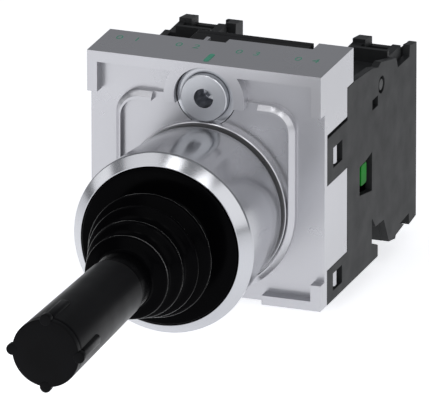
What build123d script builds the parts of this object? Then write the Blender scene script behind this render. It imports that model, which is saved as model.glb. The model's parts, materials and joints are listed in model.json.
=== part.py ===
from build123d import *
import os

# Industrial joystick for a 22 mm panel hole: a rubber-booted lever on a
# gimbal, four tappets, a die-cast holder and two contact modules.
# Millimetres. The origin is on the lever's axis in the holder's front plane,
# +Y points into the panel, +Z is up and the lever points along -Y.

# Driving dimensions
HOLDER_W = 40.0                      # square holder, four 10 mm places
AXIS_DROP = 4.12                     # lever axis below the holder's centre
Z_LOW = -HOLDER_W / 2 + AXIS_DROP    # holder's lower edge
Z_TOP = HOLDER_W / 2 + AXIS_DROP     # holder's upper edge
LIP_Y = 0.1                          # inner edge of the sloped lip
PLATE_Y = 1.95                       # main plate behind the front plane
PLATFORM_Y = 1.2                     # raised platform inside the lip
PLATE_BACK = 5.2                     # back of the main plate
SCREW_FLOOR = 4.1                    # floor of the clamping screw's recess
WALL_BACK = 12.6                     # rear edge of the holder's walls
LEFT_BACK = 10.8                     # the same, at the left of the top
SCREW_Z = 14.1 + AXIS_DROP           # clamping screw
COLLAR_FRONT = -20.5                 # chrome collar, front edge
COLLAR_BACK = -2.0                   # chrome collar, rear edge
COLLAR_R = 15.32                     # chrome collar, largest radius
MOUTH_R = 13.4                       # chrome collar, mouth
SEAT_Y = -1.0                        # gasket face that meets the panel
SLEEVE_R = 12.9                      # sleeve inside the collar
NECK_R = 11.0                        # neck through the 22.3 mm hole
NECK_BACK = 9.5                      # rear end of the neck
PIVOT_Y = -9.0                       # both tilt axes cross here
PIN_R = 0.8                          # gimbal pins
RUN = 0.05                           # radial clearance of a running fit
PLATE_FACE = PIVOT_Y + 5.0           # rear face of the rocker plate
TAPPET_AT = 7.0                      # tappets' distance from the axis
TAPPET_R = 1.2                       # tappet rods
TAPPET_TIP = PLATE_FACE + 0.4        # tips, at rest
ARM_Y = 16.0                         # front of the tappets' side arms
MODULE_X = 10.1                      # inner side of a contact module
COVER_X = 18.8                       # inner side of its outer cover
HALF_W = HOLDER_W / 2                # outer side of the covers
BACK_Y = 46.5                        # back of the contact modules
LEVEL_UP, LEVEL_SIDE, LEVEL_DOWN = 7.0, 1.1, -5.5    # contact heights
BARS = (12.15, 18.55)                # middle of a module's contact bars
SCREWS = (13.6, 17.0)                # a module's terminal screws


# Shapes
def block(x0, x1, y0, y1, z0, z1):
    return Pos((x0 + x1) / 2, (y0 + y1) / 2, (z0 + z1) / 2) * Box(abs(x1 - x0), abs(y1 - y0), abs(z1 - z0))


def rod_y(r, y0, y1, x=0.0, z=0.0):
    return Pos(x, (y0 + y1) / 2, z) * Rot(X=90) * Cylinder(r, abs(y1 - y0))


def rod_x(r, x0, x1, y=0.0, z=0.0):
    return Pos((x0 + x1) / 2, y, z) * Rot(Y=90) * Cylinder(r, abs(x1 - x0))


def rod_z(r, z0, z1, x=0.0, y=0.0):
    return Pos(x, y, (z0 + z1) / 2) * Cylinder(r, abs(z1 - z0))


def ring_y(r_in, r_out, y0, y1, x=0.0, z=0.0):
    return rod_y(r_out, y0, y1, x, z) - rod_y(r_in, y0 - 1, y1 + 1, x, z)


def turned(points):
    """A closed profile of (radius, y), turned about the lever's axis."""
    outline = make_face(Polyline(*[(r, y, 0) for r, y in points], close=True))
    return revolve(outline, axis=Axis.Y)


def along_x(points, x0, x1):
    """A closed profile of (y, z), drawn out from x0 to x1."""
    face = make_face(Polyline(*[(x0, y, z) for y, z in points], close=True))
    return extrude(face, amount=x1 - x0, dir=(1, 0, 0))


def along_y(points, y0, y1):
    """A closed profile of (x, z), drawn out from y0 to y1."""
    face = make_face(Polyline(*[(x, y0, z) for x, z in points], close=True))
    return extrude(face, amount=y1 - y0, dir=(0, 1, 0))


def along_z(points, z0, z1):
    """A closed profile of (x, y), drawn up from z0 to z1."""
    face = make_face(Polyline(*[(x, y, z0) for x, y in points], close=True))
    return extrude(face, amount=z1 - z0, dir=(0, 0, 1))


def both_sides(shape):
    return shape + mirror(shape, about=Plane.YZ)


def lift(points):
    """Profile heights measured from the holder's centre, moved to the axis."""
    return [(y, z + AXIS_DROP) for y, z in points]


# Collar, gasket and boot
def bezel_collar():
    outside = [(MOUTH_R, COLLAR_FRONT), (COLLAR_R, -18.57), (13.8, COLLAR_BACK)]
    inside = [(12.95, COLLAR_BACK), (12.95, -19.2), (12.4, -19.2), (12.4, -19.8)]
    return turned(outside + inside)


def panel_gasket():
    body = ring_y(11.05, 13.3, COLLAR_BACK, SEAT_Y - 0.2)
    lip = ring_y(12.5, 13.1, SEAT_Y - 0.2, SEAT_Y)
    return body + lip


def boot_lower():
    """Fixed half of the boot: clamped bead, flat base and the two widest folds."""
    outer = [(12.9, -18.0), (12.9, -19.15), (12.35, -19.15), (12.35, -19.9), (13.1, -20.42)]
    outer += [(13.0, -20.75), (11.6, -20.95), (10.2, -21.3), (9.5, -22.2), (9.5, -23.0)]
    outer += [(10.35, -24.5), (10.5, -25.2), (10.3, -25.9), (9.0, -26.7), (8.6, -27.1)]
    outer += [(9.35, -27.7), (9.5, -28.2), (9.35, -28.8), (8.1, -29.7), (7.7, -30.2)]
    inner = [(6.9, -30.2), (7.3, -29.4), (8.4, -28.5), (8.4, -28.0), (7.7, -27.3)]
    inner += [(7.9, -26.4), (9.5, -25.5), (9.5, -24.9), (8.6, -23.3), (8.6, -21.9)]
    inner += [(9.6, -20.6), (11.0, -20.1), (11.0, -18.0)]
    return turned(outer + inner)


def boot_upper():
    """Moving half of the boot: the two narrow folds and the neck on the lever."""
    outer = [(7.7, -30.2), (7.7, -30.6), (8.1, -31.4), (8.25, -32.0), (8.1, -32.6)]
    outer += [(6.9, -33.6), (6.6, -34.2), (6.9, -35.2), (7.1, -35.9), (6.95, -36.5)]
    outer += [(5.9, -37.6), (5.5, -38.4), (5.2, -40.4), (5.0, -42.0)]
    inner = [(4.3, -42.0), (4.3, -38.0), (4.9, -37.2), (6.1, -36.1), (5.9, -35.2)]
    inner += [(5.8, -34.3), (6.1, -33.3), (7.3, -32.2), (7.2, -31.6), (6.9, -30.8), (6.9, -30.2)]
    return turned(outer + inner)


def boot_clamp_ring():
    return turned([(11.0, -18.0), (SLEEVE_R, -18.0), (SLEEVE_R, -16.8), (10.6, -16.8), (10.6, -17.6)])


# Sleeve with the tilt mechanism
def actuator_sleeve():
    """The sleeve that fills the collar, and its neck through the panel."""
    outer = [(SLEEVE_R, -16.8), (SLEEVE_R, COLLAR_BACK), (NECK_R, COLLAR_BACK), (NECK_R, NECK_BACK)]
    inner = [(9.6, NECK_BACK), (9.6, -2.4), (10.2, -3.0), (10.2, -15.2), (11.5, -15.2), (11.5, -16.8)]
    body = turned(outer + inner)
    body -= rod_x(PIN_R + RUN, -11.9, 11.9, PIVOT_Y, 0)
    body -= ring_y(10.5, 12, 5.2, 6.6)
    body -= block(-1.3, 1.3, -1.8, 12, 10.3, 12)
    return body


def gate_plate():
    """Its square opening stops the lever at the end of each tilt."""
    half = 4.25
    opening = block(-half, half, -18, -14, -half, half)
    opening = fillet(opening.edges().filter_by(Axis.Y), 1.2)
    return rod_y(11.45, -16.8, -15.2) - opening


def gimbal_ring():
    body = ring_y(6.0, 8.2, PIVOT_Y - 1.6, PIVOT_Y + 1.6)
    body -= rod_x(PIN_R, -12, 12, PIVOT_Y, 0)
    body -= rod_z(PIN_R + RUN, -12, 12, 0, PIVOT_Y)
    return body


def gimbal_pins():
    return both_sides(rod_x(PIN_R, 6.1, 11.6, PIVOT_Y, 0))


def lever_hub():
    """Hub in the gimbal: a barrel with a collar for the rocker plate."""
    barrel = [(3.4, -12.2), (4.4, -11.0), (4.4, -7.2), (3.4, -6.2), (3.4, -5.4)]
    body = turned([(2.2, -12.2)] + barrel + [(2.2, -5.4)])
    return body - rod_z(PIN_R, -8, 8, 0, PIVOT_Y)


def hub_pins():
    pin = rod_z(PIN_R, 2.3, 7.9, 0, PIVOT_Y)
    return pin + mirror(pin, about=Plane.XY)


def lever_shaft():
    core = rod_y(2.2, -68.0, PLATE_FACE + 0.3)
    core = chamfer(core.edges().group_by(Axis.Y)[0], 0.5)
    return core - ring_y(1.8, 3, -45.6, -44.8)


def rocker_plate():
    """Round plate that presses the tappets, with a rib at each tappet."""
    plate = ring_y(2.2, 8.4, PLATE_FACE - 1.4, PLATE_FACE)
    plate -= ring_y(0.1, 3.4, PLATE_FACE - 2, PLATE_FACE - 1.4)
    return chamfer(plate.edges().group_by(Axis.Y)[0].sort_by(SortBy.RADIUS)[-1], 0.4)


def shaft_circlip():
    clip = ring_y(2.2, 3.2, PLATE_FACE, PLATE_FACE + 0.25)
    return clip - block(0, 4, PLATE_FACE - 1, PLATE_FACE + 1, -0.7, 0.7)


# Lever grip
def grip_rib():
    """One long low rib with rounded ends, on the grip's upper side."""
    bar = block(-0.92, 0.92, -71.0, -63.4, 4.8, 5.95)
    bar = fillet(bar.edges().filter_by(Axis.Y).group_by(Axis.Z)[-1], 0.4)
    return fillet(bar.edges().filter_by(Axis.Z).group_by(Axis.Y)[-1], 0.85)


def lever_grip():
    body = turned([(0.0, -71.5), (5.35, -71.5), (5.6, -70.9), (5.02, -42.0), (4.25, -42.0),
                   (4.25, -37.4), (0.0, -37.4)])
    body -= rod_y(2.2, -68.0, -30)
    for turn in range(4):
        body += Rot(Y=90 * turn) * grip_rib()
    return body


def grip_cap():
    """End cap with a half-round lug on each of the four directions."""
    cap = turned([(0.0, -72.7), (5.4, -72.7), (5.62, -72.45), (5.62, -71.5), (0.0, -71.5)])
    lug = rod_y(0.95, -72.7, -71.5, 0, 5.7)
    lug = chamfer(lug.edges().group_by(Axis.Y)[0], 0.2)
    for turn in range(4):
        cap += Rot(Y=90 * turn) * lug
    return cap


# Tappets, each one carried through the neck to its contact
def tappet_guide():
    disc = rod_y(9.6, 0.0, 3.2) - rod_y(2.5, -1, 5)
    for turn in range(4):
        disc -= Rot(Y=90 * turn) * rod_y(TAPPET_R + RUN, -1, 5, 0, TAPPET_AT)
    return disc


def tappet(x, z, side):
    """Push rod with a side arm that reaches into the contact module."""
    rod = rod_y(TAPPET_R, TAPPET_TIP, ARM_Y + 2.0, x, z)
    rod = fillet(rod.edges().group_by(Axis.Y)[0], 0.7)
    start = x - side * TAPPET_R
    return rod + block(start, side * 15.9, ARM_Y, ARM_Y + 2, z - 1, z + 1)


def slide(side, level):
    """Contact carrier behind a tappet's arm, its stem slotted for the bridge.
    At the side window it has a flag, which shows there.
    """
    body = block(side * 13.2, side * 18.5, ARM_Y + 2, ARM_Y + 5.9, level - 2.05, level + 2.05)
    body = chamfer(body.edges().filter_by(Axis.X).group_by(Axis.Y)[-1], 0.4)
    body += block(side * 14.2, side * 16.6, ARM_Y + 5.9, ARM_Y + 8.2, level - 1.3, level + 1.3)
    if level == LEVEL_SIDE:
        flag = block(side * 18.45, side * 19.7, 20.4, 22.9, level - 2.45, level + 1.05)
        body += chamfer(flag.edges().filter_by(Axis.X), 0.25)
    return body - block(side * 12, side * 19, ARM_Y + 7.0, ARM_Y + 7.4, level - 0.8, level + 0.8)


def bridge(side, level):
    """Springy strip that joins the two contact bars of its level."""
    strip = block(side * 12.1, side * 18.4, ARM_Y + 7.0, ARM_Y + 7.4, level - 0.8, level + 0.8)
    for x in (12.7, 17.9):
        strip += rod_y(0.5, ARM_Y + 6.8, ARM_Y + 7.5, side * x, level)
    return strip


def coil(side, level):
    """Return spring between a slide's stem and the seat in its module."""
    pitch, turns = 0.96, 3.0
    path = Helix(pitch=pitch, height=pitch * turns, radius=0.9)
    wire = sweep(Plane(origin=path @ 0, z_dir=path % 0) * Circle(0.15), path=path)
    return Pos(side * 15.4, ARM_Y + 8.36, level) * Rot(X=-90) * wire


# Middle housing behind the holder
def transfer_housing():
    """Box between the contact modules that guides the tappets' arms."""
    body = block(-9.9, 9.9, 10.0, 23.6, -13.9, 16.4 + AXIS_DROP)
    body -= block(-8.4, 8.4, 11.6, 24, -12.5, 18.4)
    for turn in range(4):
        body -= Rot(Y=90 * turn) * rod_y(TAPPET_R + 0.3, 9, 12, 0, TAPPET_AT)
    body -= block(7, 11, ARM_Y - 1.9, ARM_Y + 3.9, TAPPET_AT - 1.4, TAPPET_AT + 1.4)
    body -= block(-11, -7, ARM_Y - 1.9, ARM_Y + 3.9, -TAPPET_AT - 1.4, -TAPPET_AT + 1.4)
    body -= block(-11, 11, ARM_Y - 1.9, ARM_Y + 3.9, -1.4, 1.4)
    body -= rod_y(2.6, 9, 11.2, 0, SCREW_Z)
    for z in (-11.2, 16.0):
        body += both_sides(rod_y(1.5, 11.0, 23.6, 7.2, z) - rod_y(0.6, 16, 24, 7.2, z))
    return body


def transfer_cover():
    body = block(-9.9, 9.9, 23.6, 25.2, -13.9, 16.4 + AXIS_DROP)
    body = chamfer(body.edges().group_by(Axis.Y)[-1], 0.2)
    for z in (-11.2, 16.0):
        body -= rod_y(0.65, 23, 26, 7.2, z) + rod_y(0.65, 23, 26, -7.2, z)
        body -= rod_y(1.3, 24.4, 26, 7.2, z) + rod_y(1.3, 24.4, 26, -7.2, z)
    return body


def cover_screws():
    """Four identical screws of the middle housing's cover."""
    screws = []
    for x in (-7.2, 7.2):
        for z in (-11.2, 16.0):
            screw = rod_y(1.25, 24.4, 25.3, x, z) + rod_y(0.6, 17, 24.5, x, z)
            screws.append(screw - block(x - 1.5, x + 1.5, 25.0, 26, z - 0.18, z + 0.18))
    return screws


# Contact modules. One long side has a hump, a notch and a fin on its top, the other is plain
def side_profile(top):
    """Outline of a module's side: clip and foot below, the given top, step in front."""
    below = [(12.9, -20.0), (27.8, -20.0), (27.8, -18.0), (24.9, -16.8), (24.9, -12.6), (26.65, -14.5)]
    below += [(30.65, -14.7), (33.2, -19.35), (36.3, -19.9), (36.6, -19.4), (40.7, -18.9)]
    below += [(38.7, -18.05), (43.0, -17.8), (43.0, -19.75), (BACK_Y, -19.3), (BACK_Y, 10.8)]
    return lift(below + top + [(24.9, 13.35), (15.7, 14.15), (15.7, 14.0), (12.9, 14.0)])


def fin_side(x0, x1):
    hump = [(36.8, 10.8), (36.3, 11.4), (34.3, 11.8), (29.0, 13.1), (27.6, 12.6)]
    return along_x(side_profile([(43.1, 11.3), (42.9, 9.4), (37.3, 9.4)] + hump), x0, x1)


def plain_side(x0, x1):
    top = [(43.1, 11.3), (43.1, 10.65), (38.6, 10.6), (36.4, 11.4), (24.9, 11.1)]
    return along_x(side_profile(top), x0, x1)


def module_cover(fin_outside):
    """Outer side of a contact module, with its two clip legs and windows."""
    body = fin_side(COVER_X, HALF_W) if fin_outside else plain_side(COVER_X, HALF_W)
    for low, high in ((0.5, 8.5), (-20.0, -14.1)):
        body += block(COVER_X, HALF_W, 3.2, 13.5, low + AXIS_DROP, high + AXIS_DROP)
    for low, high in ((2.6, 6.0), (-18.45, -15.5)):
        body -= block(COVER_X - 1, HALF_W + 1, 6.1, 10.4, low + AXIS_DROP, high + AXIS_DROP)
    window = [(18.8, 2.5), (21.6, 2.6), (24.8, 3.1), (24.8, -3.5), (18.8, -2.4)]
    body -= along_x(window, COVER_X - 1, HALF_W + 1)
    body -= block(COVER_X - 1, HALF_W + 1, 24.9, 27.6, 6.1 + AXIS_DROP, 7.8 + AXIS_DROP)
    return body - rod_x(1.45, COVER_X - 1, HALF_W + 1, 29.3, 9.1 + AXIS_DROP)


def module_pin():
    return rod_x(0.95, 12.0, HALF_W - 0.1, 29.3, 9.1 + AXIS_DROP)


def module_body(levels, arms, fin_inside):
    """Tray of a contact module: inner wall, chambers and terminal block."""
    inner = MODULE_X + 1.8
    if fin_inside:
        body = fin_side(MODULE_X, 11.4) + plain_side(11.4, COVER_X)
        well, corner, post = 11.4, (inner, 17.8), (11.3, 12.7)
        wall, dip = (inner, 17.8), [(12.7, 13.65), (17.8, 13.65), (17.8, 20), (12.7, 20)]
    else:
        body = plain_side(MODULE_X, COVER_X)
        well, corner, post = inner, (12.3, COVER_X), (17.4, COVER_X)
        wall, dip = (12.3, COVER_X), [(12.3, 13.65), (17.3, 13.65), (18.7, 14.85), (18.7, 20), (12.3, 20)]
    # The top is open: a trough, a thin cross wall, then a well with a low rear wall
    body -= block(inner, 30, 17.2, 35.5, 14.4, 20)
    body -= block(well, COVER_X, 36.3, 42.9, 10.2, 20)
    body -= block(*corner, 42.8, 45.4, 10.2, 20)
    body -= along_y(dip, 45.0, 47.0)
    body += block(*wall, 35.5, 36.3, 12.5, 12.6 + AXIS_DROP)
    body += block(*post, 36.2, 42.0, 10.0, 11.5 + AXIS_DROP)
    # Chambers for the slides, the springs and the contact bars
    body -= block(inner, 30, 14.4, 24.2, -9.6, 9.4)
    body -= block(inner, 30, 24.2, 34.0, -7.9, 9.4) + block(inner, 30, 34.0, 39.6, -10.4, 9.4)
    body -= block(17.0, 30, 24.9, 27.6, 6.1 + AXIS_DROP, 7.8 + AXIS_DROP)
    for level in levels:
        for x in SCREWS:
            body -= rod_y(1.55, 39, 50, x, level) + rod_y(1.1, 39, 50, x, level - 3.0)
        body += block(12.9, 17.8, 27.4, 28.4, level - 2.0, level + 2.0)
        body += block(MODULE_X + 1, 17.8, 27.4, 28.4, level + 0.9, level + 2.0)
    for arm in arms:
        body -= block(MODULE_X - 1, inner + 1, ARM_Y - 1.6, ARM_Y + 3.6, arm - 1.4, arm + 1.4)
    return body - rod_x(0.95, 12.0, 30, 29.3, 9.1 + AXIS_DROP)


def contact_bars(side, levels):
    """Bars with a contact pad in front and a screw foot behind."""
    bars = []
    front = ARM_Y + 7.5 + 1.5
    for level in levels:
        for x, turn, screw in zip(BARS, (1, -1), SCREWS):
            bar = block(side * (x - 0.2), side * (x + 0.2), front, 38.6, level - 0.6, level + 0.6)
            edge = x - 0.2 * turn
            pad = side * (edge + 1.2 * turn)
            bar += block(side * edge, pad, front, front + 0.5, level - 0.6, level + 0.6)
            foot = block(side * edge, side * (edge + 2.95 * turn), 38.0, 38.6, level - 1.3, level + 1.3)
            bars.append(bar + foot - rod_y(0.8, 37, 40, side * screw, level))
    return bars


def terminal_nuts(side, levels):
    nuts = []
    for level in levels:
        for x in SCREWS:
            nut = block(side * (x - 1.0), side * (x + 1.0), 36.0, 38.0, level - 1.2, level + 1.2)
            nuts.append(nut - rod_y(0.75, 35, 39, side * x, level))
    return nuts


def terminal_screws():
    """All eight terminal screws: identical, so one node holds them."""
    screws = []
    for side, levels in ((1, (LEVEL_UP, LEVEL_SIDE)), (-1, (LEVEL_SIDE, LEVEL_DOWN))):
        for level in levels:
            for x in SCREWS:
                screw = rod_y(1.45, 38.6, 40.2, side * x, level) + rod_y(0.75, 34.6, 38.7, side * x, level)
                slot = block(side * x - 2, side * x + 2, 39.5, 41, level - 0.2, level + 0.2)
                screws.append(screw - slot)
    return screws


# Holder and its fittings
def region(half, top, corner, y0, y1):
    """Round below the lever's axis, straight-sided with two corners above."""
    upper = block(-half, half, y0, y1, 0, top)
    upper = fillet(upper.edges().filter_by(Axis.Y).group_by(Axis.Z)[-1], corner)
    return upper + rod_y(half, y0, y1)


def holder_front():
    """Raised parts of the front: platform with a sloped lip, arc collar, rim and corner pads."""
    back = PLATE_Y + 1.0
    platform = region(15.3, 13.9 + AXIS_DROP, 4.2, PLATFORM_Y, back)
    lip = region(15.3, 13.9 + AXIS_DROP, 4.2, LIP_Y, back)
    lip = chamfer(lip.edges().group_by(Axis.Y)[0], 0.8)
    lip -= region(14.3, 12.53 + AXIS_DROP, 3.15, -1, back + 1)
    lip -= block(-9, 9, -1, back + 1, 5, 30)
    arc = ring_y(5.1, 6.9, 0, back, 0, SCREW_Z) - block(-8, 8, -1, back + 1, 5, 12.7 + AXIS_DROP)
    arc -= block(-8, 8, -1, back + 1, Z_TOP - 1, 30)
    body = platform + lip + arc + block(-HALF_W, HALF_W, 0, back, Z_TOP - 1.9, Z_TOP)
    pads = block(18.25, HALF_W, 0, back, 13 + AXIS_DROP, Z_TOP)
    pads += block(18.25, HALF_W, 0, back, Z_LOW, -15.6 + AXIS_DROP)
    pads += block(9.9, HALF_W, 0, back, Z_LOW, -18.4 + AXIS_DROP)
    return body + both_sides(pads)


def holder_frame():
    """Die-cast holder: profiled front plate with a hole for the neck, hooks, open at the back."""
    body = block(-HALF_W, HALF_W, PLATE_Y, 15.64, Z_LOW, Z_TOP)
    body -= block(-18.1, 18.1, PLATE_BACK, 30, Z_LOW + 1.8, Z_TOP - 1.9)
    # Rear edge of the walls, stepped as in the casting
    body -= block(-30, 30, WALL_BACK + 0.1, 30, Z_LOW - 1, SCREW_Z)
    body -= block(-4.0, 14.1, WALL_BACK, 30, SCREW_Z, Z_TOP + 1)
    body -= block(-30, -4.0, LEFT_BACK, 30, SCREW_Z, Z_TOP + 1)
    body -= block(-3.4, -0.15, LEFT_BACK, 30, Z_TOP - 2.5, Z_TOP + 1)
    # Raised parts of the front, the clamping screw's boss and recess, and the neck's hole
    body += holder_front()
    body += rod_y(4.4, PLATE_BACK - 1, 9.6, 0, SCREW_Z)
    body -= rod_y(5.1, -1, SCREW_FLOOR, 0, SCREW_Z) + rod_y(2.05, 0, 30, 0, SCREW_Z)
    body -= rod_y(NECK_R + 0.2, -1, 30)
    # Slots for the modules' clip legs, with a barbed hook in each
    legs = Part()
    hooks = Part()
    for low, high in ((0.5, 9.05), (-20.0, -14.1)):
        legs += block(18.1, 21, 3.15, 30, low + AXIS_DROP - 0.08, high + AXIS_DROP + 0.08)
    barb = [(18.5, 6.2), (19.75, 7.6), (19.75, 8.4), (18.5, 8.4)]
    for low, high in ((2.8, 5.8), (-18.2, -15.7)):
        hooks += block(16.4, 18.6, 4.5, 9.6, low + AXIS_DROP - 0.4, high + AXIS_DROP + 0.4)
        hooks += along_z(barb, low + AXIS_DROP, high + AXIS_DROP)
    return body - both_sides(legs) + both_sides(hooks)


def clamp_screw():
    """Flat head with a round well, and a cross recess at the bottom of the well."""
    head = rod_y(3.95, -0.1, 3.0, 0, SCREW_Z)
    head = chamfer(head.edges().group_by(Axis.Y)[0], 0.15)
    screw = head + rod_y(2.0, 2, 9.4, 0, SCREW_Z)
    screw -= rod_y(1.65, -1, 2.3, 0, SCREW_Z)
    for turn in range(2):
        bar = block(-1.6, 1.6, 1, 3.4, -0.4, 0.4)
        screw -= Pos(0, 0, SCREW_Z) * Rot(Y=45 + 90 * turn) * bar
    return screw


def screw_bushing():
    wall = ring_y(4.0, 4.75, 1.2, SCREW_FLOOR, 0, SCREW_Z)
    return wall + ring_y(2.1, 4.75, 3.05, SCREW_FLOOR, 0, SCREW_Z)


def lock_ring():
    """Split ring in the neck's groove, behind the holder's plate."""
    body = ring_y(10.5, 12.9, 5.2, 6.6)
    body -= block(-1.6, 1.6, 0, 10, 5, 15)
    return body


def position_marks():
    """Short round-ended bar on the top of the holder, at the lever's middle position."""
    bar = block(-0.6, 0.3, 1.15, 4.85, Z_TOP, Z_TOP + 0.06)
    return fillet(bar.edges().filter_by(Axis.Z), 0.43)


def solids_of(shape):
    shapes = shape if isinstance(shape, list) else [shape]
    return [solid for item in shapes for solid in item.solids()]


def write(name, shape):
    solids = solids_of(shape)
    part = solids[0] if len(solids) == 1 else Compound(children=solids)
    export_step(part, f"parts/{name}.step")


def flipped(shape):
    shapes = shape if isinstance(shape, list) else [shape]
    return [mirror(item, about=Plane.YZ) for item in shapes]


RIGHT = (LEVEL_UP, LEVEL_SIDE)
LEFT = (LEVEL_SIDE, LEVEL_DOWN)
PLACES = {"up": (0, TAPPET_AT, 1, LEVEL_UP), "down": (0, -TAPPET_AT, -1, LEVEL_DOWN),
          "right": (TAPPET_AT, 0, 1, LEVEL_SIDE), "left": (-TAPPET_AT, 0, -1, LEVEL_SIDE)}

PARTS = {
    "bezel_collar": bezel_collar(), "panel_gasket": panel_gasket(),
    "boot_lower": boot_lower(), "boot_upper": boot_upper(),
    "boot_clamp_ring": boot_clamp_ring(), "actuator_sleeve": actuator_sleeve(),
    "gate_plate": gate_plate(), "gimbal_ring": gimbal_ring(), "gimbal_pins": gimbal_pins(),
    "lever_hub": lever_hub(), "hub_pins": hub_pins(), "lever_shaft": lever_shaft(),
    "rocker_plate": rocker_plate(), "shaft_circlip": shaft_circlip(),
    "lever_grip": lever_grip(), "grip_cap": grip_cap(), "tappet_guide": tappet_guide(),
    "transfer_housing": transfer_housing(), "transfer_cover": transfer_cover(),
    "cover_screws": cover_screws(), "terminal_screws": terminal_screws(),
    "holder_frame": holder_frame(), "clamp_screw": clamp_screw(), "screw_bushing": screw_bushing(),
    "lock_ring": lock_ring(), "position_marks": position_marks(),
    "module_right_cover": module_cover(fin_outside=True),
    "module_left_cover": flipped(module_cover(fin_outside=False)),
    "module_right_body": module_body(RIGHT, (TAPPET_AT, 0), fin_inside=False),
    "module_left_body": flipped(module_body(LEFT, (-TAPPET_AT, 0), fin_inside=True)),
    "module_right_pin": module_pin(), "module_left_pin": flipped(module_pin()),
    "contact_bars_right": contact_bars(1, RIGHT), "contact_bars_left": contact_bars(-1, LEFT),
    "terminal_nuts_right": terminal_nuts(1, RIGHT), "terminal_nuts_left": terminal_nuts(-1, LEFT),
}
for word, (x, z, side, level) in PLACES.items():
    PARTS["tappet_" + word] = tappet(x, z, side)
    PARTS["slide_" + word] = slide(side, level)
    PARTS["bridge_" + word] = bridge(side, level)
    PARTS["return_spring_" + word] = coil(side, level)

os.makedirs("parts", exist_ok=True)
for name, shape in PARTS.items():
    write(name, shape)
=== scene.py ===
import json
import math

import bpy
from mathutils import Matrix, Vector


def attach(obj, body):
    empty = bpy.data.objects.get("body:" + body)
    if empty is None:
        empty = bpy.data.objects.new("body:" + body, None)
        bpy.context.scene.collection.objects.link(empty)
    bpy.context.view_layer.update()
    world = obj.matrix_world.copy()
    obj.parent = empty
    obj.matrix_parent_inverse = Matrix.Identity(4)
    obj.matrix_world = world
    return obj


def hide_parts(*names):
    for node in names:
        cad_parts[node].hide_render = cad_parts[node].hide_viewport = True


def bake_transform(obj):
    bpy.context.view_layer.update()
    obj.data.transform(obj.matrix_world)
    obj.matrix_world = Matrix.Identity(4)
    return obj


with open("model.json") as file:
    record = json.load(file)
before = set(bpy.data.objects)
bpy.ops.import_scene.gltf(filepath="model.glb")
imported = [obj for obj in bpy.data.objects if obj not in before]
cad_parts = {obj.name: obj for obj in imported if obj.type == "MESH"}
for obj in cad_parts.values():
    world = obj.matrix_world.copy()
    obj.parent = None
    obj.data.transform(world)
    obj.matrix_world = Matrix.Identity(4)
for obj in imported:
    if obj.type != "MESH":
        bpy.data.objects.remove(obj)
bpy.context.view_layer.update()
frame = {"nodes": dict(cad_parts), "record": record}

MM = 0.001
WELD = 0.002 * MM  # vertices closer than this are one
SCREW_Z = 18.22  # height of the clamping screw's axis, mm
TOP_Z = 24.12  # height of the printed digits' middle plane, mm
CAP_Y = -71.5  # where the cap meets the grip, mm

NODES = frame["nodes"]
RECORD = frame["record"]
BODY_OF = {node: body for body, nodes in RECORD["behaviour"]["bodies"].items() for node in nodes}
SLOT_OF = {part["node"]: part["material_slot"] for part in RECORD["subparts"]}


# Colours and shader nodes
def colour(hex_code):
    """An sRGB hex value as the linear colour that a shader takes."""
    channels = [int(hex_code[i:i + 2], 16) / 255 for i in (1, 3, 5)]
    return [c / 12.92 if c <= 0.04045 else ((c + 0.055) / 1.055) ** 2.4 for c in channels] + [1.0]


def add_node(tree, kind, links=(), **settings):
    """One node with its settings; each link is (input name, source node, output name)."""
    node = tree.nodes.new(kind)
    for name, value in settings.items():
        if hasattr(node, name):
            setattr(node, name, value)
        else:
            node.inputs[name.replace("_", " ")].default_value = value
    for socket, source, output in links:
        tree.links.new(source.outputs[output], node.inputs[socket])
    return node


def surface(name, **settings):
    """A material with its shader, and the object's own coordinates for its patterns."""
    material = bpy.data.materials.new(name)
    material.use_nodes = True
    tree = material.node_tree
    shader = tree.nodes["Principled BSDF"]
    for key, value in settings.items():
        shader.inputs[key.replace("_", " ")].default_value = value
    place = add_node(tree, "ShaderNodeTexCoord")
    return material, tree, shader, place


NOISE_LOW, NOISE_HIGH = 0.3, 0.7  # the span in which nearly all noise values lie


def noise_of(tree, place, size_mm, detail):
    """Noise whose patches have about that size on the object."""
    return add_node(tree, "ShaderNodeTexNoise", [("Vector", place, "Object")],
                    Scale=1000 / size_mm, Detail=detail)


def grain(tree, shader, place, size_mm, height_mm, strength):
    """A fine uneven surface: grains of that size, standing up by that height."""
    noise = noise_of(tree, place, size_mm, 3.0)
    bump = add_node(tree, "ShaderNodeBump", [("Height", noise, "Fac")],
                    Strength=strength, Distance=height_mm * MM)
    tree.links.new(bump.outputs["Normal"], shader.inputs["Normal"])


def mottle(tree, shader, place, size_mm, dark, light):
    """A slow change between two colours over the surface."""
    noise = noise_of(tree, place, size_mm, 2.0)
    ramp = add_node(tree, "ShaderNodeValToRGB", [("Fac", noise, "Fac")])
    ends = ramp.color_ramp.elements
    ends[0].position, ends[0].color = NOISE_LOW, colour(dark)
    ends[1].position, ends[1].color = NOISE_HIGH, colour(light)
    tree.links.new(ramp.outputs["Color"], shader.inputs["Base Color"])


def map_range(tree, source, output, from_min, from_max, to_min, to_max):
    """A value carried over from one span to another."""
    return add_node(tree, "ShaderNodeMapRange", [("Value", source, output)],
                    From_Min=from_min, From_Max=from_max, To_Min=to_min, To_Max=to_max)


def uneven_gloss(tree, shader, place, size_mm, low, high):
    """Roughness that wanders a little, as handling and plating leave it."""
    noise = noise_of(tree, place, size_mm, 2.0)
    span = map_range(tree, noise, "Fac", NOISE_LOW, NOISE_HIGH, low, high)
    tree.links.new(span.outputs["Result"], shader.inputs["Roughness"])


def chrome_plate():
    """Polished chrome plating on brass: bright mirror with hardly any texture."""
    material, tree, shader, place = surface("chrome_plate", Metallic=1.0)
    mottle(tree, shader, place, 30, "#b1b2b6", "#b9babe")
    uneven_gloss(tree, shader, place, 8, 0.18, 0.21)
    return material


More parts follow.
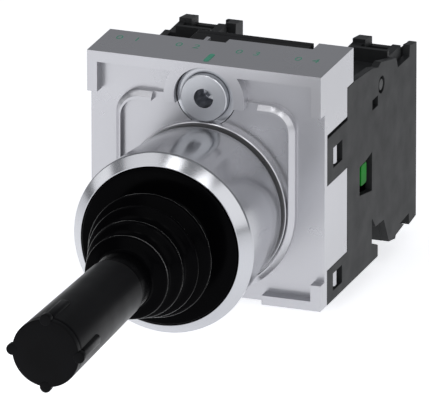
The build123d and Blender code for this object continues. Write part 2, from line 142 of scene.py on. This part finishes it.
def coated_zinc():
    """Zinc die casting with a thin satin coating: light grey metal, soft reflections."""
    material, tree, shader, place = surface("coated_zinc", Metallic=0.85)
    mottle(tree, shader, place, 14, "#b7b7bb", "#bababe")
    uneven_gloss(tree, shader, place, 8, 0.27, 0.29)
    return material


def zinc_plated_steel():
    """Turned steel with bright zinc plating: small parts, slightly blue."""
    material, tree, shader, place = surface("zinc_plated_steel", Metallic=1.0)
    mottle(tree, shader, place, 6, "#b9bbc0", "#c2c4c8")
    uneven_gloss(tree, shader, place, 3, 0.29, 0.32)
    return material


def glass_filled_nylon():
    """Moulded glass-filled nylon of the contact modules: dark grey, faint speckle."""
    material, tree, shader, place = surface("glass_filled_nylon", Specular_IOR_Level=0.2)
    mottle(tree, shader, place, 1.6, "#1e1f20", "#232425")
    uneven_gloss(tree, shader, place, 4, 0.50, 0.58)
    grain(tree, shader, place, 0.35, 0.008, 0.25)
    return material


def black_nylon():
    """Satin black nylon of the lever and inner guides."""
    material, tree, shader, place = surface("black_nylon", Specular_IOR_Level=0.065)
    mottle(tree, shader, place, 5, "#050506", "#08080a")
    uneven_gloss(tree, shader, place, 5, 0.30, 0.38)
    grain(tree, shader, place, 0.4, 0.006, 0.2)
    return material


def nitrile_rubber():
    """Moulded nitrile rubber of the boot: near black, thin sheen along the edges of the folds."""
    material, tree, shader, place = surface("nitrile_rubber", Specular_IOR_Level=0.02,
                                            Sheen_Weight=0.5, Sheen_Roughness=0.18)
    mottle(tree, shader, place, 6, "#020203", "#040405")
    uneven_gloss(tree, shader, place, 4, 0.18, 0.23)
    grain(tree, shader, place, 0.5, 0.006, 0.2)
    return material


def tinned_brass():
    """Tin-plated brass of contact bars and bridges: pale warm metal."""
    material, tree, shader, place = surface("tinned_brass", Metallic=1.0)
    mottle(tree, shader, place, 3, "#a8966a", "#bba97c")
    uneven_gloss(tree, shader, place, 2, 0.3, 0.42)
    return material


def green_acetal():
    """Moulded green acetal of the contact slides: waxy, even."""
    material, tree, shader, place = surface("green_acetal", Specular_IOR_Level=0.02)
    mottle(tree, shader, place, 2, "#176c22", "#1e7e2a")
    uneven_gloss(tree, shader, place, 2, 0.35, 0.45)
    return material


def green_ink():
    """Pad-printed green ink: flat and slightly uneven."""
    material, tree, shader, place = surface("green_ink", Specular_IOR_Level=0.4)
    mottle(tree, shader, place, 0.7, "#3d8f74", "#4a9a80")
    uneven_gloss(tree, shader, place, 0.8, 0.45, 0.6)
    return material


def grey_acetal():
    """Grey acetal of the round pins in the modules' sides."""
    material, tree, shader, place = surface("grey_acetal", Specular_IOR_Level=0.2)
    mottle(tree, shader, place, 1.5, "#2a2b2c", "#303132")
    uneven_gloss(tree, shader, place, 2, 0.38, 0.48)
    return material


FINISH = {
    "chrome": chrome_plate(),
    "die_cast": coated_zinc(),
    "bright_steel": zinc_plated_steel(),
    "module_plastic": glass_filled_nylon(),
    "black_plastic": black_nylon(),
    "rubber": nitrile_rubber(),
    "brass": tinned_brass(),
    "green_plastic": green_acetal(),
    "green_print": green_ink(),
    "pin_plastic": grey_acetal(),
}


# Modelling helpers
def deselect():
    if bpy.context.object and bpy.context.object.mode != "OBJECT":
        bpy.ops.object.mode_set(mode="OBJECT")
    bpy.ops.object.select_all(action="DESELECT")


def select_only(piece):
    deselect()
    bpy.context.view_layer.objects.active = piece
    piece.select_set(True)


def start_edit(piece):
    select_only(piece)
    bpy.ops.object.mode_set(mode="EDIT")
    bpy.ops.mesh.select_all(action="SELECT")


def place_in_mesh():
    """Move the selected objects' place, turn and scale into their meshes."""
    bpy.ops.object.transform_apply(location=True, rotation=True, scale=True)


def smooth(piece, angle):
    """Smooth shading, but sharp at edges steeper than that many degrees."""
    select_only(piece)
    bpy.ops.object.shade_smooth_by_angle(angle=math.radians(angle))


def settle(piece, angle=30):
    """Close seams, point faces outwards and shade by angle."""
    start_edit(piece)
    bpy.ops.mesh.remove_doubles(threshold=WELD)
    bpy.ops.mesh.normals_make_consistent(inside=False)
    bpy.ops.object.mode_set(mode="OBJECT")
    place_in_mesh()
    smooth(piece, angle)
    return piece


def copy_of(node):
    """A piece of its own with a copy of a node's mesh."""
    deselect()
    piece = bpy.data.objects.new(node + "_finish", NODES[node].data.copy())
    piece.data.name = piece.name
    bpy.context.scene.collection.objects.link(piece)
    return piece


def modify(piece, kind, **settings):
    """Add one modifier with its settings and apply it."""
    select_only(piece)
    modifier = piece.modifiers.new(kind.lower(), kind)
    for name, value in settings.items():
        setattr(modifier, name, value)
    bpy.ops.object.modifier_apply(modifier=modifier.name)
    return piece


def subdivide_surface(piece, levels):
    return modify(piece, "SUBSURF", levels=levels, render_levels=levels)


def finish(piece, slot, *nodes):
    """Give a piece its finish and its slot, and let it stand in for the nodes."""
    piece.data.materials.clear()
    piece.data.materials.append(FINISH[slot])
    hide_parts(*nodes)
    return piece


def turned(name, profile, steps=96, closed=True):
    """A ring extruded and scaled along the lever's axis, through (radius, y) points in mm."""
    deselect()
    radius, y = profile[0]
    bpy.ops.mesh.primitive_circle_add(vertices=steps, radius=radius * MM, location=(0, y * MM, 0),
                                      rotation=(math.pi / 2, 0, 0))
    piece = bpy.context.object
    piece.name = piece.data.name = name
    place_in_mesh()
    bpy.ops.object.mode_set(mode="EDIT")
    bpy.ops.mesh.select_all(action="SELECT")
    if not closed:
        bpy.ops.mesh.edge_face_add()
        bpy.ops.mesh.inset(thickness=radius * MM * 0.5)
        bpy.ops.mesh.select_all(action="DESELECT")
        bpy.ops.object.mode_set(mode="OBJECT")
        for vertex in piece.data.vertices:
            vertex.select = math.hypot(vertex.co.x, vertex.co.z) > radius * MM * 0.75
        bpy.ops.object.mode_set(mode="EDIT")
    for next_radius, next_y in profile[1:] + (profile[:1] if closed else []):
        step = (0, (next_y - y) * MM, 0)
        bpy.ops.mesh.extrude_region_move(TRANSFORM_OT_translate={"value": step})
        grow = next_radius / radius
        bpy.ops.transform.resize(value=(grow, 1, grow), center_override=(0, next_y * MM, 0))
        radius, y = next_radius, next_y
    if not closed:
        bpy.ops.mesh.edge_face_add()
        bpy.ops.mesh.inset(thickness=radius * MM * 0.5)
    return settle(piece)


def dressed(node, bevel):
    """A finished copy of a node: triangles merged to whole faces, edges broken by that many mm."""
    piece = copy_of(node)
    start_edit(piece)
    bpy.ops.mesh.remove_doubles(threshold=WELD)
    bpy.ops.mesh.dissolve_limited(angle_limit=math.radians(0.5))
    bpy.ops.object.mode_set(mode="OBJECT")
    modify(piece, "BEVEL", width=bevel * MM, segments=2, limit_method="ANGLE",
           angle_limit=math.radians(30), use_clamp_overlap=True, harden_normals=False)
    smooth(piece, 50)
    modify(piece, "WEIGHTED_NORMAL", weight=80, keep_sharp=True)
    finish(piece, SLOT_OF[node], node)
    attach(piece, BODY_OF[node])
    return piece


# Chrome collar, gasket, clamping screw and holder
def collar():
    """Bevelled mouth at the front, skirt round the gasket at the back."""
    profile = [(13.4, -20.42), (13.48, -20.5), (13.6, -20.49), (15.16, -18.9), (15.28, -18.75),
               (15.32, -18.57), (15.3, -18.35), (14.6, -10.5), (13.79, -1.45), (13.74, -1.28),
               (13.65, -1.22), (13.42, -1.22), (13.38, -2.05), (12.95, -2.05), (12.95, -19.2),
               (12.42, -19.2), (12.42, -19.8)]
    piece = turned("collar", profile, steps=128)
    finish(piece, "chrome", "bezel_collar")
    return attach(piece, "housing")


def bushing():
    """Ring that fills the gap between the screw's head and the holder."""
    profile = [(3.97, 1.3), (4.05, 1.22), (4.2, 1.2), (4.85, 1.2), (4.98, 1.26), (5.02, 1.4),
               (5.02, 4.1), (2.1, 4.1), (2.1, 3.05), (3.97, 3.05)]
    piece = turned("bushing", profile, steps=64)
    for vertex in piece.data.vertices:
        vertex.co.z += SCREW_Z * MM
    finish(piece, "bright_steel", "screw_bushing")
    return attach(piece, "housing")


def clamping_screw():
    """The screw's head with a deeper well than the solid's, so that it looks dark inside."""
    piece = dressed("clamp_screw", bevel=0.1)
    for vertex in piece.data.vertices:
        from_axis = math.hypot(vertex.co.x, vertex.co.z - SCREW_Z * MM)
        if from_axis < 1.72 * MM and 2.0 * MM < vertex.co.y < 3.6 * MM:
            vertex.co.y += 2.2 * MM
    return piece


def holder():
    """The die casting, with the low ring round the neck that lies on the panel's back."""
    profile = [(11.25, 0.15), (11.35, 0.06), (13.92, 0.06), (14.06, 0.2), (14.06, 1.5),
               (11.25, 1.5)]
    ring = turned("hub_ring", profile)
    ring.data.materials.append(FINISH["die_cast"])
    return join([dressed("holder_frame", bevel=0.16), ring], "holder_frame_finish")


def gasket():
    """Rubber ring with a low lip that the panel squeezes."""
    profile = [(11.1, -2.0), (13.2, -2.0), (13.3, -1.9), (13.3, -1.3), (13.22, -1.2), (13.1, -1.18),
               (13.0, -1.02), (12.6, -1.02), (12.5, -1.2), (11.1, -1.2)]
    piece = turned("gasket", profile)
    finish(piece, "rubber", "panel_gasket")
    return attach(piece, "housing")


# Rubber boot
def boot():
    """Two lengths of one folded boot."""
    fixed = [(12.9, -18.0), (12.9, -19.15), (12.38, -19.2), (12.38, -19.9), (13.1, -20.4),
             (13.3, -20.55), (13.15, -20.72), (12.4, -20.82), (11.0, -20.88), (9.6, -20.93),
             (8.75, -21.05), (8.45, -21.4), (8.6, -22.2), (9.3, -23.3), (10.0, -24.2),
             (10.4, -24.75), (10.52, -25.15), (10.42, -25.5), (10.05, -25.75), (9.1, -26.1),
             (8.3, -26.45), (8.15, -26.8), (8.6, -27.25), (9.2, -27.7), (9.5, -28.1),
             (9.42, -28.45), (9.05, -28.7), (8.2, -29.05), (7.75, -29.5), (7.65, -30.2)]
    fixed += [(6.9, -30.2), (7.0, -29.4), (7.6, -28.8), (8.4, -28.3), (8.1, -27.8), (7.5, -27.1),
              (7.5, -26.3), (8.5, -25.6), (9.4, -25.1), (8.8, -24.2), (7.9, -22.8), (7.7, -21.3),
              (8.3, -20.4), (11.0, -20.1), (11.0, -18.0)]
    moving = [(7.65, -30.2), (7.6, -30.65), (7.8, -31.15), (8.15, -31.6), (8.25, -31.95),
              (8.15, -32.3), (7.8, -32.6), (7.05, -33.0), (6.6, -33.45), (6.5, -34.1),
              (6.65, -34.8), (6.95, -35.4), (7.1, -35.85), (7.0, -36.2), (6.6, -36.45),
              (5.7, -36.7), (5.05, -36.95), (4.82, -37.4), (4.78, -38.6), (4.78, -41.2),
              (4.74, -41.85), (4.6, -42.0)]
    moving += [(4.35, -42.0), (4.35, -37.4), (4.6, -36.75), (5.4, -36.25), (6.2, -35.9),
               (6.0, -35.2), (5.8, -34.2), (6.0, -33.4), (6.9, -32.5), (7.3, -32.0), (7.1, -31.5),
               (6.9, -30.8), (6.9, -30.2)]
    lower = subdivide_surface(turned("boot_folds_fixed", fixed, steps=72), 1)
    upper = subdivide_surface(turned("boot_folds_moving", moving, steps=72), 1)
    finish(lower, "rubber", "boot_lower")
    finish(upper, "rubber", "boot_upper")
    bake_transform(lower)
    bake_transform(upper)


# Lever grip
def rounded_bar(name, low, high, bevel):
    """A bar between two corners in mm, its edges rounded."""
    deselect()
    middle = [(a + b) / 2 * MM for a, b in zip(low, high)]
    bpy.ops.mesh.primitive_cube_add(size=1.0, location=middle)
    piece = bpy.context.object
    piece.name = piece.data.name = name
    piece.scale = [(b - a) * MM for a, b in zip(low, high)]
    place_in_mesh()
    return modify(piece, "BEVEL", width=bevel * MM, segments=3, limit_method="NONE",
                  use_clamp_overlap=True)


def join(pieces, name):
    deselect()
    for piece in pieces:
        piece.select_set(True)
    bpy.context.view_layer.objects.active = pieces[0]
    bpy.ops.object.join()
    pieces[0].name = pieces[0].data.name = name
    return pieces[0]


def quarter_turns(piece, name):
    """The piece and three copies of it, turned about the lever's axis."""
    copies = [piece]
    for turn in range(1, 4):
        copy = piece.copy()
        copy.data = piece.data.copy()
        bpy.context.scene.collection.objects.link(copy)
        copy.rotation_euler = (0, math.radians(90 * turn), 0)
        copies.append(copy)
    deselect()
    for copy in copies:
        copy.select_set(True)
    bpy.context.view_layer.objects.active = piece
    place_in_mesh()
    return join(copies, name)


def grip():
    """Slightly tapered shank with four ribs at its free end."""
    profile = [(4.25, -37.4), (4.25, -42.0), (4.95, -42.0), (5.02, -42.1), (5.3, -56.0),
               (5.58, -70.6), (5.55, -71.2), (5.4, -71.45), (5.2, CAP_Y)]
    shank = turned("grip", profile, closed=False)
    rib = rounded_bar("grip_rib", (-0.92, -71.2, 4.7), (0.92, -63.4, 5.98), 0.55)
    ribs = quarter_turns(rib, "grip_ribs")
    piece = join([shank, ribs], "grip")
    smooth(piece, 40)
    finish(piece, "black_plastic", "lever_grip")
    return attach(piece, "lever")


def cap():
    """Disc with four half-round lugs on its rim, flush with its face."""
    profile = [(5.62, CAP_Y), (5.62, -72.45), (5.6, -72.55), (5.53, -72.62), (5.42, -72.65)]
    disc = turned("cap", profile, closed=False)
    deselect()
    bpy.ops.mesh.primitive_cylinder_add(vertices=32, radius=0.95 * MM, depth=1.2 * MM,
                                        location=(0, (CAP_Y - 0.6) * MM, 5.62 * MM),
                                        rotation=(math.pi / 2, 0, 0))
    lug = bpy.context.object
    place_in_mesh()
    modify(lug, "BEVEL", width=0.12 * MM, segments=3, limit_method="ANGLE",
           angle_limit=math.radians(50))
    piece = join([disc, quarter_turns(lug, "lugs")], "cap")
    smooth(piece, 40)
    finish(piece, "black_plastic", "grip_cap")
    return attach(piece, "lever")


# Return springs
def spring(word):
    """A copy of the coil that lies between the slide and its fixed end."""
    node = f"return_spring_{word}"
    piece = settle(copy_of(node), 50)
    finish(piece, SLOT_OF[node], node)
    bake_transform(piece)


# Printed marks
def prints():
    """Plain position numbers on the holder's top, a few hundredths of a millimetre thick."""
    pieces = []
    for place, x in enumerate((-15.6, -5.4, 4.9, 15.0)):
        for sign, dx in (("0", -1.5), (str(place + 1), 1.5)):
            deselect()
            bpy.ops.object.text_add(location=((x + dx) * MM, 6.6 * MM, TOP_Z * MM))
            text = bpy.context.object
            text.data.body = sign
            text.data.size = 2.5 * MM
            text.data.align_x = "CENTER"
            text.data.offset = -0.03 * MM
            text.data.extrude = 0.02 * MM
            bpy.ops.object.convert(target="MESH")
            place_in_mesh()
            pieces.append(bpy.context.object)
    piece = join(pieces, "prints")
    finish(piece, "green_print")
    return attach(piece, "housing")


collar()
gasket()
boot()
grip()
cap()
prints()
holder()
clamping_screw()
bushing()
for side in ("right", "left"):
    dressed(f"module_{side}_cover", bevel=0.12)
    dressed(f"module_{side}_body", bevel=0.1)
    dressed(f"module_{side}_pin", bevel=0.08)
dressed("transfer_housing", bevel=0.15)
dressed("transfer_cover", bevel=0.15)
for word in ("up", "down", "left", "right"):
    dressed(f"slide_{word}", bevel=0.1)
    spring(word)

for node, cad in NODES.items():
    cad.data.materials.clear()
    cad.data.materials.append(FINISH[SLOT_OF[node]])


# Floor, light and camera
FLOOR_Z = -0.0203  # below the lever's tip at its lowest
LIT_POINT = Vector((0, -0.02, 0))  # all lamps face the collar
LAMPS = (  # name, place in m, side in m, power in W
    ("top_front", (-0.20, -0.61, 1.46), 0.36, 1.4),
    ("right_front", (1.55, -0.92, 0.85), 1.5, 8.0),
    ("top_right", (0.61, -0.78, 1.28), 0.42, 1.3),
    ("front", (0.1, -2.2, 1.4), 2.6, 20.0),
    ("top_left", (-1.05, -0.42, 1.45), 0.95, 2.8),
    ("left", (-1.93, 0.0, 0.60), 0.65, 1.7),
)


def studio():
    """A pale floor with a painted glow, an emission that is brightest under the part as a painted
    pool of light, and soft lamps round it.
    """
    deselect()
    bpy.ops.mesh.primitive_plane_add(size=6.0, location=(0, 0, FLOOR_Z))
    floor = bpy.context.object
    floor.name = "floor"
    painted_glow_floor, tree, shader, place = surface("floor_painted_glow", Specular_IOR_Level=0.0, Roughness=1.0)
    shader.inputs["Base Color"].default_value = colour("#f4f4f4")
    # Painted glow: the floor's emission stands in for light falling on it, not for a lamp under it.
    shader.inputs["Emission Color"].default_value = colour("#fbfcff")
    centre = add_node(tree, "ShaderNodeMapping", [("Vector", place, "Object")],
                      Location=(0.03, 0.10, 0.0))
    spread = add_node(tree, "ShaderNodeVectorMath", [("Vector", centre, "Vector")],
                      operation="LENGTH")
    # Painted pool of light: emission 0.78 within 0.10 m of the centre, fading to 0.50 at 0.22 m.
    glow = map_range(tree, spread, "Value", 0.10, 0.22, 0.78, 0.50)
    tree.links.new(glow.outputs["Result"], shader.inputs["Emission Strength"])
    floor.data.materials.append(painted_glow_floor)

    world = bpy.data.worlds.new("studio")
    bpy.context.scene.world = world
    world.use_nodes = True
    background = world.node_tree.nodes["Background"]
    background.inputs["Color"].default_value = colour("#d0d2d6")
    background.inputs["Strength"].default_value = 0.45

    for name, place, size, power in LAMPS:
        lamp = bpy.data.lights.new(name, "AREA")
        lamp.shape = "SQUARE"
        lamp.size = size
        lamp.energy = power
        obj = bpy.data.objects.new(name, lamp)
        obj.location = place
        obj.rotation_euler = (LIT_POINT - Vector(place)).to_track_quat("-Z", "Y").to_euler()
        bpy.context.scene.collection.objects.link(obj)


def camera():
    """A very long lens, 20 degrees to the right and 20 degrees above."""
    back = Vector((0.3214, -0.8830, 0.3420)).normalized()
    aim = Vector((1.95, 0.0, 1.09)) * MM
    distance, width = 2.6, 0.069215  # of the camera, and of what it sees there, in m
    lens = bpy.data.cameras.new("camera")
    lens.sensor_width = 36.0
    lens.lens = 36.0 * distance / width
    lens.clip_start = 0.5
    lens.clip_end = 20.0
    obj = bpy.data.objects.new("camera", lens)
    obj.location = aim + back * distance
    obj.rotation_euler = back.to_track_quat("Z", "Y").to_euler()
    bpy.context.scene.collection.objects.link(obj)
    bpy.context.scene.camera = obj


studio()
camera()
bpy.context.scene.view_settings.view_transform = "Standard"
